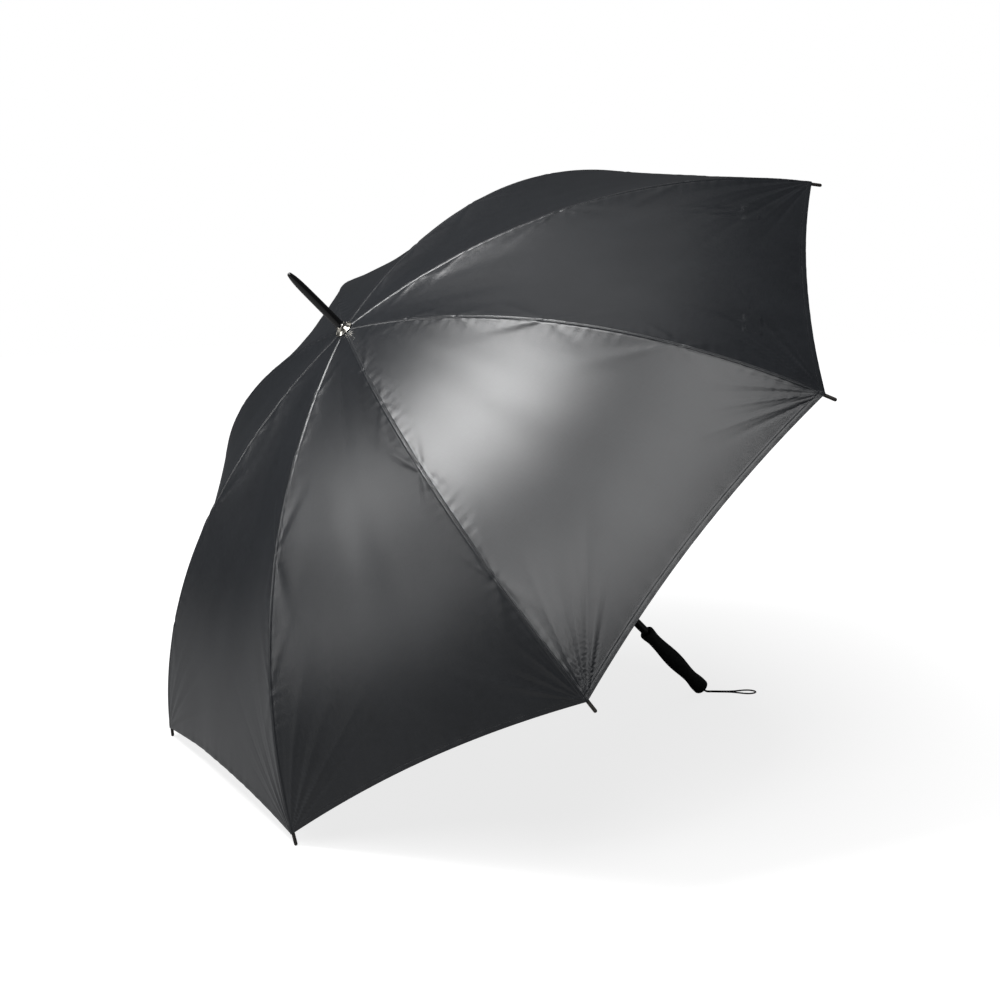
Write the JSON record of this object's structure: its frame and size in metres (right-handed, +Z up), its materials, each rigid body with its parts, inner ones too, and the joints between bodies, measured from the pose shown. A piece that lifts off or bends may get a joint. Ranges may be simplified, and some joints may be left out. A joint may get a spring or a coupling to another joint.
{
  "type": "golf umbrella",
  "caption": "Open golf umbrella lying on its side: domed cloth canopy on folding ribs and stretchers, straight shaft, sliding runner, foam grip and wrist loop.",
  "frame": {"origin": "on the floor under the middle of the open umbrella as it lies on its rib tips and handle end", "axes": "+Z up; the shaft lies in the XZ plane and slopes down toward +X, where the handle is; +Y across the canopy"},
  "size_m": [0.9542, 1.2448, 0.8841],
  "materials": {
    "canopy_fabric": "dark charcoal woven polyester with a satin sheen",
    "rib_steel": "black electro-coated steel channel, satin",
    "tip_plastic": "black moulded nylon",
    "shaft_enamel": "black powder-coated steel tube",
    "ferrule_plastic": "polished black moulded plastic",
    "crown_metal": "bright nickel plate",
    "hub_plastic": "black moulded nylon",
    "ring_wire": "zinc-plated steel wire",
    "grip_foam": "black closed-cell foam with a fine matte skin",
    "plug_plastic": "black moulded plastic",
    "cord_braid": "black braided polyester cord",
    "catch_steel": "spring steel"
  },
  "bodies": {
    "shaft": {"shaft_tube": "shaft_enamel", "ferrule": "ferrule_plastic", "crown_cap": "crown_metal", "top_notch": "hub_plastic", "notch_ring": "ring_wire", "grip": "grip_foam", "end_plug": "plug_plastic", "wrist_cord": "cord_braid"},
    "inner_rib_1": {"inner_rib_1": "rib_steel", "canopy_inner_1": "canopy_fabric"},
    "outer_rib_1": {"outer_rib_1": "rib_steel", "rib_tip_1": "tip_plastic", "canopy_outer_1": "canopy_fabric"},
    "stretcher_1": {"stretcher_1": "rib_steel"},
    "inner_rib_2": {"inner_rib_2": "rib_steel", "canopy_inner_2": "canopy_fabric"},
    "outer_rib_2": {"outer_rib_2": "rib_steel", "rib_tip_2": "tip_plastic", "canopy_outer_2": "canopy_fabric"},
    "stretcher_2": {"stretcher_2": "rib_steel"},
    "inner_rib_3": {"inner_rib_3": "rib_steel", "canopy_inner_3": "canopy_fabric"},
    "outer_rib_3": {"outer_rib_3": "rib_steel", "rib_tip_3": "tip_plastic", "canopy_outer_3": "canopy_fabric"},
    "stretcher_3": {"stretcher_3": "rib_steel"},
    "inner_rib_4": {"inner_rib_4": "rib_steel", "canopy_inner_4": "canopy_fabric"},
    "outer_rib_4": {"outer_rib_4": "rib_steel", "rib_tip_4": "tip_plastic", "canopy_outer_4": "canopy_fabric"},
    "stretcher_4": {"stretcher_4": "rib_steel"},
    "inner_rib_5": {"inner_rib_5": "rib_steel", "canopy_inner_5": "canopy_fabric"},
    "outer_rib_5": {"outer_rib_5": "rib_steel", "rib_tip_5": "tip_plastic", "canopy_outer_5": "canopy_fabric"},
    "stretcher_5": {"stretcher_5": "rib_steel"},
    "inner_rib_6": {"inner_rib_6": "rib_steel", "canopy_inner_6": "canopy_fabric"},
    "outer_rib_6": {"outer_rib_6": "rib_steel", "rib_tip_6": "tip_plastic", "canopy_outer_6": "canopy_fabric"},
    "stretcher_6": {"stretcher_6": "rib_steel"},
    "inner_rib_7": {"inner_rib_7": "rib_steel", "canopy_inner_7": "canopy_fabric"},
    "outer_rib_7": {"outer_rib_7": "rib_steel", "rib_tip_7": "tip_plastic", "canopy_outer_7": "canopy_fabric"},
    "stretcher_7": {"stretcher_7": "rib_steel"},
    "inner_rib_8": {"inner_rib_8": "rib_steel", "canopy_inner_8": "canopy_fabric"},
    "outer_rib_8": {"outer_rib_8": "rib_steel", "rib_tip_8": "tip_plastic", "canopy_outer_8": "canopy_fabric"},
    "stretcher_8": {"stretcher_8": "rib_steel"},
    "runner": {"runner": "hub_plastic", "runner_ring": "ring_wire"},
    "top_catch": {"top_catch": "catch_steel"}
  },
  "joints": [
    {"name": "rib_1_fold", "type": "hinge", "parent": "shaft", "child": "inner_rib_1", "pos_m": [-0.21788, 0.00459, 0.67905], "axis": [-0.2733, 0.9239, -0.2679], "range_deg": [0, 72], "deforming": ["canopy_inner_1"]},
    {"name": "rib_2_fold", "type": "hinge", "parent": "shaft", "child": "inner_rib_2", "pos_m": [-0.22252, 0.01109, 0.67451], "axis": [-0.6598, 0.3827, -0.6467], "range_deg": [0, 72.01], "deforming": ["canopy_inner_2"]},
    {"name": "rib_3_fold", "type": "hinge", "parent": "shaft", "child": "inner_rib_3", "pos_m": [-0.22908, 0.01109, 0.66808], "axis": [-0.6598, -0.3827, -0.6467], "range_deg": [0, 72.01], "deforming": ["canopy_inner_3"]},
    {"name": "rib_4_fold", "type": "hinge", "parent": "shaft", "child": "inner_rib_4", "pos_m": [-0.23372, 0.00459, 0.66353], "axis": [-0.2733, -0.9239, -0.2679], "range_deg": [0, 72.01], "deforming": ["canopy_inner_4"]},
    {"name": "rib_5_fold", "type": "hinge", "parent": "shaft", "child": "inner_rib_5", "pos_m": [-0.23372, -0.00459, 0.66353], "axis": [0.2733, -0.9239, 0.2679], "range_deg": [0, 72.01], "deforming": ["canopy_inner_5"]},
    {"name": "rib_6_fold", "type": "hinge", "parent": "shaft", "child": "inner_rib_6", "pos_m": [-0.22908, -0.01109, 0.66808], "axis": [0.6598, -0.3827, 0.6467], "range_deg": [0, 72.01], "deforming": ["canopy_inner_6"]},
    {"name": "rib_7_fold", "type": "hinge", "parent": "shaft", "child": "inner_rib_7", "pos_m": [-0.22252, -0.01109, 0.67451], "axis": [0.6598, 0.3827, 0.6467], "range_deg": [0, 72.01], "deforming": ["canopy_inner_7"]},
    {"name": "rib_8_fold", "type": "hinge", "parent": "shaft", "child": "inner_rib_8", "pos_m": [-0.21788, -0.00459, 0.67905], "axis": [0.2733, 0.9239, 0.2679], "range_deg": [0, 72.01], "deforming": ["canopy_inner_8"]},
    {"name": "stretcher_1_pivot", "type": "hinge", "parent": "inner_rib_1", "child": "stretcher_1", "pos_m": [0.06288, 0.13407, 0.83916], "axis": [-0.2733, 0.9239, -0.2679], "range_deg": [-144.02, 0]},
    {"name": "rib_1_flex", "type": "hinge", "parent": "inner_rib_1", "child": "outer_rib_1", "pos_m": [0.06288, 0.13407, 0.83916], "axis": [-0.2733, 0.9239, -0.2679], "range_deg": [-23.52, 0], "deforming": ["canopy_outer_1"]},
    {"name": "stretcher_2_pivot", "type": "hinge", "parent": "inner_rib_2", "child": "stretcher_2", "pos_m": [-0.07254, 0.32367, 0.70645], "axis": [-0.6598, 0.3827, -0.6467], "range_deg": [-144.02, 0]},
    {"name": "rib_2_flex", "type": "hinge", "parent": "inner_rib_2", "child": "outer_rib_2", "pos_m": [-0.07254, 0.32367, 0.70645], "axis": [-0.6598, 0.3827, -0.6467], "range_deg": [-23.52, 0], "deforming": ["canopy_outer_2"]},
    {"name": "stretcher_3_pivot", "type": "hinge", "parent": "inner_rib_3", "child": "stretcher_3", "pos_m": [-0.26404, 0.32367, 0.51877], "axis": [-0.6598, -0.3827, -0.6467], "range_deg": [-144.02, 0]},
    {"name": "rib_3_flex", "type": "hinge", "parent": "inner_rib_3", "child": "outer_rib_3", "pos_m": [-0.26404, 0.32367, 0.51877], "axis": [-0.6598, -0.3827, -0.6467], "range_deg": [-23.52, 0], "deforming": ["canopy_outer_3"]},
    {"name": "stretcher_4_pivot", "type": "hinge", "parent": "inner_rib_4", "child": "stretcher_4", "pos_m": [-0.39946, 0.13407, 0.38606], "axis": [-0.2733, -0.9239, -0.2679], "range_deg": [-144.02, 0]},
    {"name": "rib_4_flex", "type": "hinge", "parent": "inner_rib_4", "child": "outer_rib_4", "pos_m": [-0.39946, 0.13407, 0.38606], "axis": [-0.2733, -0.9239, -0.2679], "range_deg": [-23.52, 0], "deforming": ["canopy_outer_4"]},
    {"name": "stretcher_5_pivot", "type": "hinge", "parent": "inner_rib_5", "child": "stretcher_5", "pos_m": [-0.39946, -0.13407, 0.38606], "axis": [0.2733, -0.9239, 0.2679], "range_deg": [-144.02, 0]},
    {"name": "rib_5_flex", "type": "hinge", "parent": "inner_rib_5", "child": "outer_rib_5", "pos_m": [-0.39946, -0.13407, 0.38606], "axis": [0.2733, -0.9239, 0.2679], "range_deg": [-23.52, 0], "deforming": ["canopy_outer_5"]},
    {"name": "stretcher_6_pivot", "type": "hinge", "parent": "inner_rib_6", "child": "stretcher_6", "pos_m": [-0.26404, -0.32367, 0.51877], "axis": [0.6598, -0.3827, 0.6467], "range_deg": [-144.02, 0]},
    {"name": "rib_6_flex", "type": "hinge", "parent": "inner_rib_6", "child": "outer_rib_6", "pos_m": [-0.26404, -0.32367, 0.51877], "axis": [0.6598, -0.3827, 0.6467], "range_deg": [-23.52, 0], "deforming": ["canopy_outer_6"]},
    {"name": "stretcher_7_pivot", "type": "hinge", "parent": "inner_rib_7", "child": "stretcher_7", "pos_m": [-0.07254, -0.32367, 0.70645], "axis": [0.6598, 0.3827, 0.6467], "range_deg": [-144.02, 0]},
    {"name": "rib_7_flex", "type": "hinge", "parent": "inner_rib_7", "child": "outer_rib_7", "pos_m": [-0.07254, -0.32367, 0.70645], "axis": [0.6598, 0.3827, 0.6467], "range_deg": [-23.52, 0], "deforming": ["canopy_outer_7"]},
    {"name": "stretcher_8_pivot", "type": "hinge", "parent": "inner_rib_8", "child": "stretcher_8", "pos_m": [0.06288, -0.13407, 0.83916], "axis": [0.2733, 0.9239, 0.2679], "range_deg": [-144.02, 0]},
    {"name": "rib_8_flex", "type": "hinge", "parent": "inner_rib_8", "child": "outer_rib_8", "pos_m": [0.06288, -0.13407, 0.83916], "axis": [0.2733, 0.9239, 0.2679], "range_deg": [-23.52, 0], "deforming": ["canopy_outer_8"]},
    {"name": "runner_pivot", "type": "hinge", "parent": "stretcher_1", "child": "runner", "pos_m": [-0.10286, 0.00459, 0.56169], "axis": [-0.2733, 0.9239, -0.2679], "range_deg": [0, 72.01]},
    {"name": "top_catch_press", "type": "slide", "parent": "shaft", "child": "top_catch", "axis": [-0.7142, 0, -0.6999], "range_m": [0, 0.0034], "stiffness_N_per_m": 900, "springref_m": -0.001}
  ],
  "couplings": [
    {"joint": "rib_2_fold", "follows": "rib_1_fold", "ratio": 1},
    {"joint": "rib_3_fold", "follows": "rib_1_fold", "ratio": 1},
    {"joint": "rib_4_fold", "follows": "rib_1_fold", "ratio": 1},
    {"joint": "rib_5_fold", "follows": "rib_1_fold", "ratio": 1},
    {"joint": "rib_6_fold", "follows": "rib_1_fold", "ratio": 1},
    {"joint": "rib_7_fold", "follows": "rib_1_fold", "ratio": 1},
    {"joint": "rib_8_fold", "follows": "rib_1_fold", "ratio": 1},
    {"joint": "stretcher_1_pivot", "follows": "rib_1_fold", "ratio": -2},
    {"joint": "rib_1_flex", "follows": "rib_1_fold", "ratio": -0.32639},
    {"joint": "stretcher_2_pivot", "follows": "rib_1_fold", "ratio": -2},
    {"joint": "rib_2_flex", "follows": "rib_1_fold", "ratio": -0.32639},
    {"joint": "stretcher_3_pivot", "follows": "rib_1_fold", "ratio": -2},
    {"joint": "rib_3_flex", "follows": "rib_1_fold", "ratio": -0.32639},
    {"joint": "stretcher_4_pivot", "follows": "rib_1_fold", "ratio": -2},
    {"joint": "rib_4_flex", "follows": "rib_1_fold", "ratio": -0.32639},
    {"joint": "stretcher_5_pivot", "follows": "rib_1_fold", "ratio": -2},
    {"joint": "rib_5_flex", "follows": "rib_1_fold", "ratio": -0.32639},
    {"joint": "stretcher_6_pivot", "follows": "rib_1_fold", "ratio": -2},
    {"joint": "rib_6_flex", "follows": "rib_1_fold", "ratio": -0.32639},
    {"joint": "stretcher_7_pivot", "follows": "rib_1_fold", "ratio": -2},
    {"joint": "rib_7_flex", "follows": "rib_1_fold", "ratio": -0.32639},
    {"joint": "stretcher_8_pivot", "follows": "rib_1_fold", "ratio": -2},
    {"joint": "rib_8_flex", "follows": "rib_1_fold", "ratio": -0.32639},
    {"joint": "runner_pivot", "follows": "rib_1_fold", "ratio": 1}
  ]
}
